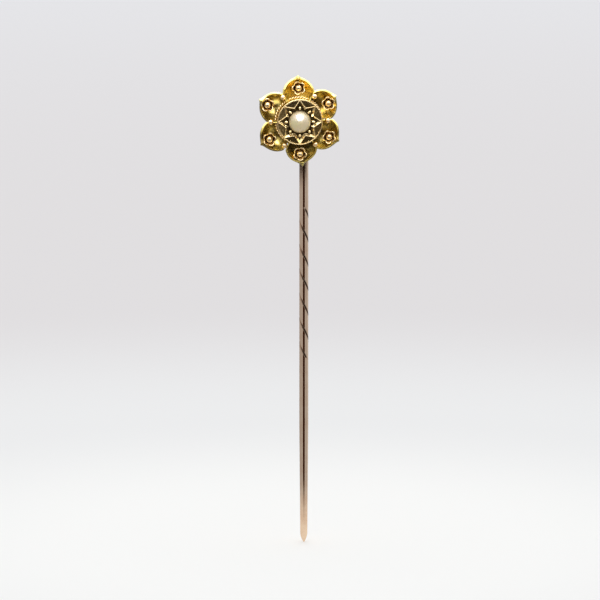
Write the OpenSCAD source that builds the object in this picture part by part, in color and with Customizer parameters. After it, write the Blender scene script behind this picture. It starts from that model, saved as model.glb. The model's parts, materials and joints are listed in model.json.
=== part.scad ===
// Stick pin with a six-petal flower head, a rope-collared star plate and a half pearl.
// Millimetres. +Z runs up the shank, the flower faces -Y, and +X is to the viewer's right.
// The origin is on the shank's axis, where the parallel wire ends and the taper to the point begins.

/* [Shank] */
// Diameter of the wire
shank_d = 1.16; // [0.9:0.02:1.4]
// Length of plain parallel wire above the taper, where a clutch sits
plain_h = 8.3; // [6:0.1:12]
// Length of the twisted grip
grip_h = 20; // [14:0.1:24]
// Length of one full turn of the grip's grooves
grip_lead = 6.32; // [4:0.02:9]
// Place of the grooves round the wire at the grip's lower end
grip_phase = 138; // [0:1:179]
// Depth of the grip's grooves
groove_depth = 0.12; // [0.05:0.01:0.2]
// Width of the grip's grooves
groove_w = 0.2; // [0.1:0.01:0.3]
// Plain wire between the grip and the middle of the flower
neck_h = 11.24; // [9:0.02:14]
// Length of the slow taper
taper_h = 14.2; // [8:0.1:18]
// Diameter at the end of the slow taper
taper_end_d = 0.94; // [0.6:0.02:1.1]
// Length of the short point
point_h = 1.3; // [0.8:0.1:4]
// Radius of the elbow that turns the wire forward behind the flower
elbow_r = 1.1; // [0.8:0.05:1.3]
// Distance from the shank's axis forward to the back of the flower
standoff = 1.75; // [1.6:0.05:2.4]

/* [Flower] */
// Sideways offset of the flower from the shank
flower_x = -1; // [-1.2:0.02:0]
// Turn of the flower on the shank, counter-clockwise from the front
flower_turn = 2.4; // [-6:0.1:6]
// Number of petals
petals = 6; // [6]
// Distance from the flower's middle to a petal's tip
tip_r = 5.78; // [5.7:0.02:6]
// Radius of a petal's round outline
petal_r = 2.02; // [1.9:0.02:2.04]
// Distance from the flower's middle to that outline's middle
petal_c = 3.33; // [3.25:0.01:3.4]
// Height of the petals' rims above the flower's back
rim_h = 2; // [1.9:0.05:2.1]
// Radius of a petal's hollow
dish_r = 2; // [1.96:0.01:2.04]
// Thickness of a petal's sheet
sheet = 0.25; // [0.2:0.01:0.35]
// Diameter of the grains in the clefts between petals
cleft_grain_d = 0.74; // [0.6:0.02:0.8]

/* [Florets] */
// Usual distance from the flower's middle to a floret
floret_c = 4.3; // [4.25:0.05:4.4]
// Width of a floret's cup across its lobes
cup_d = 1.7; // [1.5:0.05:1.9]
// Number of lobes round a cup
cup_lobes = 5; // [4:1:6]
// Diameter of the grain in a cup
floret_grain_d = 0.72; // [0.6:0.02:0.8]

/* [Centre] */
// Diameter of the drum under the star plate
drum_d = 5.48; // [5.3:0.02:5.6]
// Diameter of the star plate
plate_d = 5.74; // [5.6:0.02:5.9]
// Height of the star plate's face above the flower's back
plate_top = 2.6; // [2.5:0.05:2.9]
// Height of the rope collar's middle above the flower's back
rope_h = 1.4; // [1.3:0.05:1.6]
// Diameter of one of the rope's two wires
rope_wire_d = 0.18; // [0.14:0.01:0.2]
// Turns that the rope's wires make on the way round
rope_turns = 25; // [16:1:30]
// Number of star points
star_points = 8; // [8]
// Diameter of the pearl
pearl_d = 2.82; // [2.6:0.02:2.9]
// Height of the pearl above the star's floor
pearl_h = 1.25; // [1:0.05:1.4]

/* [Hidden] */
$fn = 64;

gold = "#d9a830";
star_gold = "#c9a24a";
rose_gold = "#b98d6d";
cream = "#efe6d2";

// Shank heights
shank_r = shank_d / 2;
grip_z = plain_h;
neck_z = grip_z + grip_h;
flower_z = neck_z + neck_h;
grip_sides = 20;
grip_slices = 96;
grip_inset = 0.004; // keeps the grip's corners just inside the plain wire
point_r = 0.05; // the very end of the point
seam = 0.02; // overlap that fuses the grip to the plain wire

// Flower heights, measured forward from its back
back_h = 0.35;
back_r = 3.3;
petal_step = 360 / petals;
dish_c = petal_c + 0.42; // the hollow sits outside the outline's middle
dish_z = rim_h + 0.55; // height of the hollow's centre
point_spread = 8.5; // degrees over which the tip's point falls back to the round
edge_steps = 18; // points along each side of a petal's outline
rope_r = drum_d / 2 + rope_wire_d; // radius of the rope's own middle line
rope_room_r = rope_r + rope_wire_d + 0.03; // the petals' inner edges stop here
rope_room_h = rope_h - rope_wire_d - 0.1; // and only above this height
rope_sides = 5;
rope_steps = 8; // rings of the sweep in each turn
cleft_grain_c = 3.62;
cleft_grain_z = rim_h - 0.2;
// Degrees that each cleft grain sits off its cleft, as set by hand
cleft_lean = [2.5, -0.5, -3.5, 1.5, -2.5, -4.5];
collar_r = 1; // against the flower
collar_end_r = 0.75; // at its outer end
collar_h = 0.4;

// Florets
cup_wall = 0.16;
cup_foot = 0.5; // width of a cup's foot, as a share of its mouth
notch_r = 0.32; // hollow between two lobes
notch_lift = 0.1; // height of that hollow's centre above the cup's rim
cup_h = 0.95;
cup_sink = 0.04; // depth of a cup's foot below the petal's hollow at the cup's middle
grain_lift = 0.66; // height of a grain's middle above the cup's foot
// Each floret's own place along its petal, and in degrees beside its petal's line, as set by hand
floret_shift = [-0.2, 0.15, 0.1, -0.05, 0.1, 0];
floret_lean = [-2, 1, 0, -0.5, -1.5, -3];

// Star plate
plate_h = 0.45;
star_depth = 0.24;
star_floor = plate_top - star_depth;
star_r = 2.34; // the star's points, on its floor
star_inner_r = 1.58; // and the corners between them
star_flare = 0.16; // share by which its sloping walls widen it on the way up
star_edge = 1.045; // the thin standing edge round it, as a share of its mouth
rim_w = 0.12;
field_depth = 0.07; // the engraved fields lie this far below the rim
claw_r = 0.19;
claw_c = 1.72;
above = 1; // reach of a cut past the surface that it opens
pearl_r = (pow(pearl_d / 2, 2) + pow(pearl_h, 2)) / (2 * pearl_h);

function polar(r, a) = [r * cos(a), r * sin(a)];
function petal_angle(i) = 90 + (i - 1) * petal_step;
// Turn from a petal's middle line to a cleft grain; cleft k follows petal k
function cleft_angle(k) = petal_angle(k) + petal_step / 2 + cleft_lean[(k + petals - 1) % petals];
// Middle of a floret's foot, in the frame of a petal that points along x
function floret_foot(i) =
    let (at = polar(floret_c + floret_shift[i - 1], floret_lean[i - 1]))
    [at.x, at.y, dish_z - sqrt(pow(dish_r, 2) - pow(norm(at - [dish_c, 0]), 2)) - cup_sink];

// The flower's own frame: x right, y up and z forward, on the flower's back
module in_flower() {
    translate([flower_x, -standoff, flower_z])
        rotate([90, 0, 0])
            rotate(flower_turn)
                children();
}

// Round wire with two shallow grooves, as a cross-section
module grip_section() {
    difference() {
        circle(r = shank_r - grip_inset, $fn = grip_sides);
        for (side = [0, 180])
            rotate(side)
                translate([shank_r, 0])
                    scale([groove_depth, groove_w / 2])
                        circle(r = 1, $fn = 4);
    }
}

module shank() {
    color(rose_gold) {
        // plain parallel wire that a clutch slides along
        cylinder(r = shank_r, h = plain_h);
        // twisted grip
        translate([0, 0, grip_z - seam])
            linear_extrude(
                height = grip_h + 2 * seam,
                twist = 360 * grip_h / grip_lead,
                slices = grip_slices,
                segments = grip_sides
            )
                rotate(grip_phase)
                    grip_section();
        // plain neck up to the elbow
        translate([0, 0, neck_z])
            cylinder(r = shank_r, h = neck_h - elbow_r);
        // elbow that turns the wire forward
        translate([0, -elbow_r, flower_z - elbow_r])
            rotate([90, 0, 90])
                rotate_extrude(angle = 90)
                    translate([elbow_r, 0])
                        circle(r = shank_r);
        // straight end that is soldered to the flower's back
        translate([0, -elbow_r, flower_z])
            rotate([90, 0, 0])
                cylinder(r = shank_r, h = standoff - elbow_r);
        // slow taper and short point
        translate([0, 0, -taper_h])
            cylinder(r1 = taper_end_d / 2, r2 = shank_r, h = taper_h);
        translate([0, 0, -taper_h - point_h])
            cylinder(r1 = point_r, r2 = taper_end_d / 2, h = point_h);
    }
}

// Solder collar round the wire's end, on the flower's back
module shank_collar() {
    color(rose_gold)
        translate([0, -standoff + collar_h, flower_z])
            rotate([90, 0, 0])
                difference() {
                    cylinder(r1 = collar_end_r, r2 = collar_r, h = collar_h);
                    translate([0, 0, -above])
                        cylinder(r = shank_r, h = collar_h + 2 * above);
                }
}

module back_plate() {
    color(gold)
        in_flower()
            cylinder(r = back_r, h = back_h);
}

// Reach of a petal's edge from its own middle: a round that draws out to a short point at angle 0
function petal_edge(a) = petal_r + (tip_r - petal_c - petal_r) * exp(-abs(a) / point_spread);

// A petal's outline from the front, pointing along x, with its points closest together at the tip
module petal_outline() {
    translate([petal_c, 0])
        polygon([
            for (k = [1 - edge_steps : edge_steps])
                let (a = sign(k) * 180 * pow(abs(k) / edge_steps, 1.6))
                polar(petal_edge(a), a)
        ]);
}

// Everything between the two clefts beside a petal that points along x
module petal_sector(reach) {
    linear_extrude(height = rim_h)
        polygon([[0, 0], polar(reach, petal_step / 2), polar(reach, -petal_step / 2)]);
}

module petal(i) {
    color(gold)
        in_flower()
            rotate(petal_angle(i))
                difference() {
                    intersection() {
                        translate([0, 0, back_h])
                            linear_extrude(height = rim_h - back_h)
                                petal_outline();
                        petal_sector(3 * tip_r);
                        translate([dish_c, 0, dish_z])
                            sphere(r = dish_r + sheet);
                    }
                    // the hollow
                    translate([dish_c, 0, dish_z])
                        sphere(r = dish_r);
                    // room for the drum and, higher up, for the rope
                    cylinder(r = drum_d / 2, h = rim_h);
                    translate([0, 0, rope_room_h])
                        cylinder(r = rope_room_r, h = rim_h);
                    // seats of the two cleft grains
                    for (k = [i - 1, i])
                        rotate(cleft_angle(k) - petal_angle(i))
                            translate([cleft_grain_c, 0, cleft_grain_z])
                                sphere(d = cleft_grain_d);
                }
}

module cleft_grain(i) {
    color(gold)
        in_flower()
            rotate(cleft_angle(i))
                translate([cleft_grain_c, 0, cleft_grain_z])
                    sphere(d = cleft_grain_d);
}

// Lobed cup that holds a floret's grain
module floret_cup(i) {
    cup_r = cup_d / 2;
    foot_r = cup_r * cup_foot;
    color(gold)
        in_flower()
            rotate(petal_angle(i))
                difference() {
                    translate(floret_foot(i))
                        difference() {
                            cylinder(r1 = foot_r, r2 = cup_r, h = cup_h);
                            translate([0, 0, cup_wall])
                                cylinder(r1 = foot_r - cup_wall, r2 = cup_r - cup_wall / 2, h = cup_h);
                            // notches between the lobes
                            for (k = [1 : cup_lobes])
                                rotate((k + 0.5) * 360 / cup_lobes)
                                    translate([cup_r, 0, cup_h + notch_lift])
                                        sphere(r = notch_r);
                            // seat of the grain
                            translate([0, 0, grain_lift])
                                sphere(d = floret_grain_d);
                        }
                    // seat on the petal's hollow
                    translate([dish_c, 0, dish_z])
                        difference() {
                            sphere(r = 2 * dish_r);
                            sphere(r = dish_r);
                        }
                }
}

module floret_grain(i) {
    color(gold)
        in_flower()
            rotate(petal_angle(i))
                translate(floret_foot(i) + [0, 0, grain_lift])
                    sphere(d = floret_grain_d);
}

module boss_drum() {
    color(gold)
        in_flower()
            translate([0, 0, back_h])
                cylinder(d = drum_d, h = plate_top - plate_h - back_h);
}

// Middle line of one rope wire: a small helix wound round the rope's own circle
function rope_point(a, phase) =
    let (lay = a * rope_turns + phase, reach = rope_r + rope_wire_d / 2 * cos(lay))
    [reach * cos(a), reach * sin(a), rope_h + rope_wire_d / 2 * sin(lay)];

// One wire of the rope, swept along that line
module rope_wire(phase) {
    rings = rope_turns * rope_steps;
    points = [
        for (n = [0 : rings - 1])
            let (
                a = n * 360 / rings,
                here = rope_point(a, phase),
                ahead = rope_point(a + 0.1, phase) - here,
                along = ahead / norm(ahead),
                side = cross([0, 0, 1], along),
                out = side / norm(side),
                up = cross(along, out)
            )
            for (s = [0 : rope_sides - 1])
                here + (out * cos(s * 360 / rope_sides) + up * sin(s * 360 / rope_sides)) * rope_wire_d / 2
    ];
    faces = [
        for (n = [0 : rings - 1], s = [0 : rope_sides - 1], half = [0, 1])
            let (
                m = (n + 1) % rings,
                t = (s + 1) % rope_sides,
                a = n * rope_sides + s,
                b = n * rope_sides + t,
                c = m * rope_sides + t,
                d = m * rope_sides + s
            )
            half == 0 ? [a, b, c] : [a, c, d]
    ];
    color(gold)
        in_flower()
            polyhedron(points = points, faces = faces);
}

module rope_wire_1() {
    rope_wire(0);
}

module rope_wire_2() {
    rope_wire(180);
}

// Outline of the star's floor
module star_outline() {
    polygon([
        for (k = [0 : 2 * star_points - 1])
            polar(k % 2 == 0 ? star_r : star_inner_r, k * 180 / star_points)
    ]);
}

module star_plate() {
    color(star_gold)
        in_flower()
            rotate(-flower_turn) {
                difference() {
                    translate([0, 0, plate_top - plate_h])
                        cylinder(d = plate_d, h = plate_h);
                    // engraved fields, inside the rim and outside the star
                    translate([0, 0, plate_top - field_depth])
                        linear_extrude(height = above)
                            difference() {
                                circle(r = plate_d / 2 - rim_w);
                                scale((1 + star_flare) * star_edge)
                                    star_outline();
                            }
                    // the sunk star, with walls that slope out to its thin standing edge
                    translate([0, 0, star_floor])
                        linear_extrude(height = 2 * star_depth, scale = 1 + 2 * star_flare)
                            star_outline();
                }
                // grains cut up from the star's floor to hold the pearl
                for (k = [1 : star_points])
                    rotate(k * 360 / star_points)
                        translate([claw_c, 0, star_floor])
                            sphere(r = claw_r);
            }
}

module pearl() {
    color(cream)
        in_flower()
            translate([0, 0, star_floor])
                intersection() {
                    translate([0, 0, pearl_h - pearl_r])
                        sphere(r = pearl_r);
                    cylinder(d = 2 * pearl_d, h = pearl_h + above);
                }
}

shank();
shank_collar();
back_plate();
boss_drum();
rope_wire_1();
rope_wire_2();
star_plate();
pearl();
for (i = [1 : petals]) {
    petal(i);
    floret_cup(i);
    floret_grain(i);
    cleft_grain(i);
}
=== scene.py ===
import json
import math

import bmesh
import bpy
import numpy as np
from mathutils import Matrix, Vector


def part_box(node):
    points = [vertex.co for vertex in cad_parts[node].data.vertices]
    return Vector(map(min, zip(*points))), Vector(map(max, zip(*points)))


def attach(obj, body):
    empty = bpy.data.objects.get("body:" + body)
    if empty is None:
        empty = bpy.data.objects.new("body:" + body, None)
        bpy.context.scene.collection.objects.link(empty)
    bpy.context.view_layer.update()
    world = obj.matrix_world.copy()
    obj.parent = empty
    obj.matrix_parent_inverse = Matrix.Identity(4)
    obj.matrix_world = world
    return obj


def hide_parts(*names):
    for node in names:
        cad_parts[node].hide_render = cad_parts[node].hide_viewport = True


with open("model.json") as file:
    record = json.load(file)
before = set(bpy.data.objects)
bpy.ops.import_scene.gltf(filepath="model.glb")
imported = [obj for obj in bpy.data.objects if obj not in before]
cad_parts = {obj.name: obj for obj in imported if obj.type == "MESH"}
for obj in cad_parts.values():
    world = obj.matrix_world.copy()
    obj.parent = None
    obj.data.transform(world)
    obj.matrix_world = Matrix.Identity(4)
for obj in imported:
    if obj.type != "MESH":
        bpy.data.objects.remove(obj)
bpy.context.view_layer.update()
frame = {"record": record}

# Lengths in this script are millimetres, in the flower's own frame (x right, y up, z forward, on the
# flower's back) or in the row frame. MM turns them into Blender's metres when a mesh is made. Only the
# floor's distances, the lamps' distances and sizes, and the numbers in the node trees are in metres.
MM = 0.001


# ---------------------------------------------------------------------------
# Places and sizes read from the frame
# ---------------------------------------------------------------------------
def node_box(node):
    """A node's lowest and highest corners, in millimetres."""
    low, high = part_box(node)
    return np.array(low) / MM, np.array(high) / MM


PLATE_LOW, PLATE_HIGH = node_box("star_plate")
BACK_LOW, BACK_HIGH = node_box("back_plate")
DRUM_LOW, DRUM_HIGH = node_box("boss_drum")
PEARL_LOW, PEARL_HIGH = node_box("pearl")
SHANK_LOW, SHANK_HIGH = node_box("shank")
COLLAR_LOW, COLLAR_HIGH = node_box("shank_collar")
FLOWER_X = (PLATE_LOW[0] + PLATE_HIGH[0]) / 2
FLOWER_Z = (PLATE_LOW[2] + PLATE_HIGH[2]) / 2
BACK_Y = BACK_HIGH[1]
FLOWER_TURN = math.radians(2.4)  # of the petals, boss and rope, in their own plane
SHANK_R = (SHANK_HIGH[0] - SHANK_LOW[0]) / 2
PLAIN_H = frame["record"]["mounts"][0]["dims"]["length_mm"]

# The flower: its petals' tips, the middle and radius of each petal's outline, the ball that its hollow is
# cut from, and the height of its rim
PETALS = 6
TIP_R = 5.78
PETAL_R = 2.05
PETAL_C = 3.33
DISH_C = PETAL_C + 0.42
DISH_R = 2.0
RIM_H = 2.0
DISH_Z = RIM_H + 0.55
SHEET = 0.18  # thickness of a petal
END_R = 0.3  # radius inside which a round shape's end is closed

# The boss, the star plate, the back plate, the florets, the rope collar and the pearl. Heights start at
# the flower's back.
DRUM_R = (DRUM_HIGH[0] - DRUM_LOW[0]) / 2
PLATE_R = (PLATE_HIGH[0] - PLATE_LOW[0]) / 2
PLATE_TOP = BACK_Y - PLATE_LOW[1]
PLATE_BASE = BACK_Y - PLATE_HIGH[1]
BACK_H = BACK_Y - BACK_LOW[1]
BACK_R = (BACK_HIGH[0] - BACK_LOW[0]) / 2
STAR_DEPTH = 0.24
STAR_FLOOR = PLATE_TOP - STAR_DEPTH
CUP_R = 0.89
GRAIN_LIFT = 0.66  # of a floret's grain above the cup's foot
ROPE_WIRE_R = 0.09
ROPE_R = DRUM_R + 2 * ROPE_WIRE_R
ROPE_H = 1.4
ROPE_TURNS = 25
PEARL_R = (PEARL_HIGH[0] - PEARL_LOW[0]) / 2
PEARL_H = PEARL_HIGH[1] - PEARL_LOW[1]

# Camera: where it stands round the pin, and the middle of what it sees, in the row frame
VIEW_AZIMUTH = -6.6
VIEW_ELEVATION = 8.8
VIEW_DISTANCE = 500.0
VIEW_WIDTH = 76.8
VIEW_ASIDE = -0.49
VIEW_HEIGHT = 16.1
SENSOR = 36.0

# The tent round the pin, as the metal mirrors it: beside the dark gap, its sides, and what is added
# behind the pin, above, overhead and below. The gap's own dimming is a share.
TENT_EDGE = 0.54
TENT_SIDE = 0.44
TENT_BACK_LEFT = 0.0
TENT_BACK_RIGHT = 0.25
TENT_UPPER = 1.6
TENT_TOP = 1.2
TENT_BELOW = -0.05
TENT_HUE = (0.985, 0.985, 1.0)
GAP_DIMMING = 0.935
GAP_HUE = (1.0, 0.30, 0.04)
GAP_ASIDE = (25, 29)  # degrees to either side of the camera at which the gap is whole and gone
GAP_MIDDLE = -0.14  # its middle, as the sine of an elevation
GAP_UP = (0.24, 0.34)  # distances from that middle at which it is whole and gone
# What the tent adds to matt surfaces from behind, from in front and from above, and what the camera sees
FILL_BEHIND = 0.75
FILL_FRONT = 0.25
FILL_ABOVE = 0.75
TENT_SEEN = 0.76

# The paper that the pin stands on, with painted light, brightest at the pin: its tone at the pin, then
# each tone that it turns into and the two distances from the pin between which it does
FLOOR_NEAR = (0.895, 0.90, 0.88)
FLOOR_TONES = (
    ((0.80, 0.805, 0.80), 0.03, 0.09),
    ((0.715, 0.70, 0.70), 0.09, 0.20),
    ((0.755, 0.76, 0.775), 0.25, 1.2),
    ((0.713, 0.711, 0.711), 1.3, 3.2),
)
FLOOR_HALF = 4.0

# The pieces that lamps light: all but the pearl, the petals alone, and the pearl alone
LIT = bpy.data.collections.new("lit_from_above")
BLOOM = bpy.data.collections.new("lit_in_front")
NACRE = bpy.data.collections.new("lit_by_window")


# ---------------------------------------------------------------------------
# Mesh helpers
# ---------------------------------------------------------------------------
def in_row(points, turned=True):
    """Points of the flower's own frame, in the row frame."""
    turn = FLOWER_TURN if turned else 0.0
    x, y, z = np.asarray(points, float).T
    across = x * math.cos(turn) - y * math.sin(turn)
    up = x * math.sin(turn) + y * math.cos(turn)
    return np.stack([FLOWER_X + across, BACK_Y - z, FLOWER_Z + up], axis=1)


def grain_place(node):
    """A round grain's middle, in the flower's own frame, and its radius."""
    low, high = node_box(node)
    x, y, z = (low + high) / 2
    across, up = x - FLOWER_X, z - FLOWER_Z
    c, s = math.cos(-FLOWER_TURN), math.sin(-FLOWER_TURN)
    return np.array([across * c - up * s, across * s + up * c, BACK_Y - y]), (high[0] - low[0]) / 2


def spun(points, angle):
    """Points turned about the flower's middle."""
    c, s = math.cos(angle), math.sin(angle)
    x, y, z = np.asarray(points, float).T
    return np.stack([x * c - y * s, x * s + y * c, z], axis=1)


def round_ring(radius, height, turn):
    """Points of a level circle about the z axis, one for each angle."""
    return np.stack([radius * np.cos(turn), radius * np.sin(turn), np.full_like(turn, height)], axis=1)


def grid_faces(rows, columns, first=0):
    """Quads of a grid stored row by row, each row closed into a ring."""
    faces = []
    for r in range(rows - 1):
        for c in range(columns):
            n = (c + 1) % columns
            faces.append((first + r * columns + c, first + r * columns + n,
                          first + (r + 1) * columns + n, first + (r + 1) * columns + c))
    return faces


def closed_grid(rows_of_points):
    """A closed skin from rings of points that share their length, capped by a point at each end."""
    rings = [np.asarray(r, float) for r in rows_of_points]
    columns = len(rings[0])
    points = np.concatenate([rings[0].mean(0, keepdims=True), *rings, rings[-1].mean(0, keepdims=True)])
    last = len(points) - 1
    top = 1 + (len(rings) - 1) * columns
    faces = grid_faces(len(rings), columns, first=1)
    faces += [(0, 1 + (c + 1) % columns, 1 + c) for c in range(columns)]
    faces += [(last, top + c, top + (c + 1) % columns) for c in range(columns)]
    return points, faces


def joined(shapes):
    """Several (points, faces, tarnish_and_shade) shapes as one."""
    points, faces, tarnish_and_shade, first = [], [], [], 0
    for p, f, q in shapes:
        points.append(p)
        tarnish_and_shade.append(q)
        faces += [tuple(first + i for i in face) for face in f]
        first += len(p)
    return np.concatenate(points), faces, np.concatenate(tarnish_and_shade)


def make_piece(name, points, faces, tarnish_and_shade, material, slot, nodes, crease=None):
    """A smooth mesh piece in the row frame that rides on the one body and replaces CAD nodes."""
    mesh = bpy.data.meshes.new(name)
    mesh.from_pydata((np.asarray(points) * MM).tolist(), [], [list(f) for f in faces])
    mesh.validate()
    turn_faces_out(mesh)
    layer = mesh.attributes.new("tarnish_and_shade", "FLOAT", "POINT")
    layer.data.foreach_set("value", np.clip(np.asarray(tarnish_and_shade, np.float32), 0, 1))
    mesh.polygons.foreach_set("use_smooth", [True] * len(mesh.polygons))
    if crease:
        mesh.set_sharp_from_angle(angle=math.radians(crease))
    mesh.materials.append(material)
    piece = bpy.data.objects.new(name, mesh)
    bpy.context.scene.collection.objects.link(piece)
    (NACRE if slot == "pearl" else LIT).objects.link(piece)
    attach(piece, "root")
    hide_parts(*nodes)
    return piece


def turn_faces_out(mesh):
    """Faces turned to look outwards."""
    work = bmesh.new()
    work.from_mesh(mesh)
    bmesh.ops.recalc_face_normals(work, faces=work.faces)
    work.to_mesh(mesh)
    work.free()


def smooth_step(x, low, high):
    """0 up to low, 1 from high on, and a smooth rise between."""
    t = np.clip((np.asarray(x, float) - low) / (high - low), 0, 1)
    return t * t * (3 - 2 * t)


# ---------------------------------------------------------------------------
# Materials
# ---------------------------------------------------------------------------
class Graph:
    """A few short ways to add nodes to a node tree."""

    def __init__(self, tree, coordinates):
        self.tree = tree
        self.place = self.add("ShaderNodeTexCoord").outputs[coordinates]

    def add(self, kind, **values):
        node = self.tree.nodes.new(kind)
        for key, value in values.items():
            setattr(node, key, value)
        return node

    def link(self, source, target):
        self.tree.links.new(source, target)

    def put(self, socket, value):
        if hasattr(value, "is_output"):
            self.link(value, socket)
        else:
            socket.default_value = value

    def stretched(self, scale):
        node = self.add("ShaderNodeMapping")
        node.inputs["Scale"].default_value = scale
        self.link(self.place, node.inputs["Vector"])
        return node.outputs["Vector"]

    def noise(self, scale, detail=4.0, rough=0.55, vector=None, distortion=0.0):
        node = self.add("ShaderNodeTexNoise")
        node.inputs["Scale"].default_value = scale
        node.inputs["Detail"].default_value = detail
        node.inputs["Roughness"].default_value = rough
        node.inputs["Distortion"].default_value = distortion
        self.link(vector or self.place, node.inputs["Vector"])
        return node.outputs["Fac"]

    def ranged(self, value, low, high, to_low, to_high):
        node = self.add("ShaderNodeMapRange", interpolation_type="SMOOTHSTEP")
        self.put(node.inputs["Value"], value)
        node.inputs["From Min"].default_value = low
        node.inputs["From Max"].default_value = high
        node.inputs["To Min"].default_value = to_low
        node.inputs["To Max"].default_value = to_high
        return node.outputs["Result"]

    def math(self, operation, a, b=0.0):
        node = self.add("ShaderNodeMath", operation=operation)
        self.put(node.inputs[0], a)
        self.put(node.inputs[1], b)
        return node.outputs["Value"]

    def mixed(self, share, a, b):
        node = self.add("ShaderNodeMix", data_type="RGBA")
        self.put(node.inputs[0], share)
        self.put(node.inputs[6], a if hasattr(a, "is_output") else (*a, 1.0))
        self.put(node.inputs[7], b if hasattr(b, "is_output") else (*b, 1.0))
        return node.outputs[2]

    def attribute(self, name):
        node = self.add("ShaderNodeAttribute", attribute_name=name)
        return node.outputs["Fac"]

    def bump(self, height, strength, distance, below=None):
        node = self.add("ShaderNodeBump")
        node.inputs["Strength"].default_value = strength
        node.inputs["Distance"].default_value = distance * MM
        self.link(height, node.inputs["Height"])
        if below is not None:
            self.link(below, node.inputs["Normal"])
        return node.outputs["Normal"]


class MaterialGraph(Graph):
    """The node tree of a new material."""

    def __init__(self, name):
        self.material = bpy.data.materials.new(name)
        self.material.use_nodes = True
        super().__init__(self.material.node_tree, "Object")
        self.shader = self.tree.nodes["Principled BSDF"]


def gold(name, light, deep, tarnish_shade_tone, rough, dents, scratches=0.3, darkest_share=0.9, grain=(1.0, 1.0, 1.0)):
    """Worn gold: cloudy tone, fine scratches, soft dents, and tarnish and painted shade where
    tarnish_and_shade is high.
    """
    g = MaterialGraph(name)
    cloud = g.noise(700, detail=5, rough=0.6)
    fine = g.noise(5200, detail=3)
    lay = g.stretched([2600 * k for k in grain])
    scratch = g.noise(1, detail=2, rough=0.7, vector=lay, distortion=0.4)
    tone = g.mixed(g.ranged(cloud, 0.35, 0.68, 0, 1), light, deep)
    blotch = g.math("MULTIPLY", g.ranged(fine, 0.3, 0.7, 0.85, 1.25), g.attribute("tarnish_and_shade"))
    tarnish_shade_share = g.math("MINIMUM", blotch, darkest_share)
    g.link(g.mixed(tarnish_shade_share, tone, tarnish_shade_tone), g.shader.inputs["Base Color"])
    g.shader.inputs["Metallic"].default_value = 1.0
    spread = g.ranged(g.math("ADD", g.math("MULTIPLY", cloud, 0.6), g.math("MULTIPLY", scratch, 0.4)),
                      0.35, 0.65, rough[0], rough[1])
    g.link(g.math("ADD", spread, g.math("MULTIPLY", tarnish_shade_share, 0.12)), g.shader.inputs["Roughness"])
    dented = g.bump(g.noise(900, detail=1.0), dents, 0.02)
    scored = g.bump(scratch, scratches, 0.002, below=dented)
    g.link(scored, g.shader.inputs["Normal"])
    return g.material


def pearl_nacre(name):
    """Cream nacre: a soft deep body with faint clouds and specks, and a painted browner reflection where
    it is seen edge on.

    A satin sheen and a clear coat lie over it.
    """
    g = MaterialGraph(name)
    cloud = g.noise(420, detail=4)
    speck = g.noise(2600, detail=5, rough=0.65)
    body = g.mixed(g.ranged(cloud, 0.38, 0.66, 0, 1), (0.92, 0.79, 0.44), (0.92, 0.73, 0.47))
    body = g.mixed(g.ranged(speck, 0.56, 0.74, 0, 0.3), body, (0.62, 0.48, 0.26))
    # painted reflection: the base colour turns browner towards the edge, as if it mirrored the gold round
    # it
    grazing = g.add("ShaderNodeLayerWeight")
    grazing.inputs["Blend"].default_value = 0.35
    edge = g.mixed(g.ranged(grazing.outputs["Facing"], 0.15, 0.85, 0, 0.85), body, (0.56, 0.38, 0.14))
    # painted shade at the pearl's foot, where tarnish_and_shade is high
    shade = g.mixed(g.math("MULTIPLY", g.attribute("tarnish_and_shade"), 0.8), edge, (0.16, 0.10, 0.05))
    g.link(shade, g.shader.inputs["Base Color"])
    g.shader.inputs["Subsurface Weight"].default_value = 0.3
    g.shader.inputs["Subsurface Radius"].default_value = (0.6, 0.5, 0.4)
    g.shader.inputs["Subsurface Scale"].default_value = 0.5 * MM
    g.link(g.ranged(speck, 0.3, 0.7, 0.30, 0.42), g.shader.inputs["Roughness"])
    g.shader.inputs["Specular IOR Level"].default_value = 0.5
    g.shader.inputs["Coat Weight"].default_value = 0.6
    g.shader.inputs["Coat IOR"].default_value = 1.6
    g.shader.inputs["Coat Roughness"].default_value = 0.20
    g.link(g.bump(g.noise(1900, detail=4), 0.2, 0.008), g.shader.inputs["Normal"])
    return g.material


# Each gold: its light and deep tone, its tone for tarnish and painted shade, and its lowest and highest
# roughness
OLIVE_TARNISH_SHADE = (0.058, 0.028, 0.006)
YELLOW_GOLD = gold("yellow_gold", (1.0, 0.82, 0.26), (0.94, 0.71, 0.16), OLIVE_TARNISH_SHADE, (0.22, 0.32),
                   dents=0.06)
BRIGHT_GOLD = gold("bright_gold", (0.90, 0.70, 0.42), (0.84, 0.60, 0.31), OLIVE_TARNISH_SHADE, (0.08, 0.18),
                   dents=0.2)
FLORET_GOLD = gold("floret_gold", (1.0, 0.85, 0.54), (0.95, 0.74, 0.38), (0.13, 0.06, 0.018),
                   (0.12, 0.24), dents=0.15)
ENGRAVED_GOLD = gold("engraved_gold", (0.97, 0.79, 0.44), (0.88, 0.65, 0.31), (0.085, 0.052, 0.013),
                     (0.12, 0.26), dents=0.15, darkest_share=0.98)
ROSE_GOLD = gold("rose_gold", (0.87, 0.67, 0.50), (0.80, 0.58, 0.42), (0.045, 0.018, 0.006), (0.07, 0.16),
                 dents=0.2, scratches=0.35, grain=(3.0, 3.0, 0.25))
PEARL = pearl_nacre("pearl_nacre")


# ---------------------------------------------------------------------------
# Petals
# ---------------------------------------------------------------------------
# Small differences that the maker's hand left, for each petal from the top round to the left: its turn in
# degrees, and how much longer and wider it is
PETAL_LEAN = (-1.0, -0.9, -0.7, 2.0, 0.1, 1.2)
PETAL_STRETCH = (0.0, 0.03, 0.02, 0.07, -0.01, -0.1)
PETAL_SWELL = (0.0, 0.0, 0.06, -0.01, 0.1, 0.03)
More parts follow.
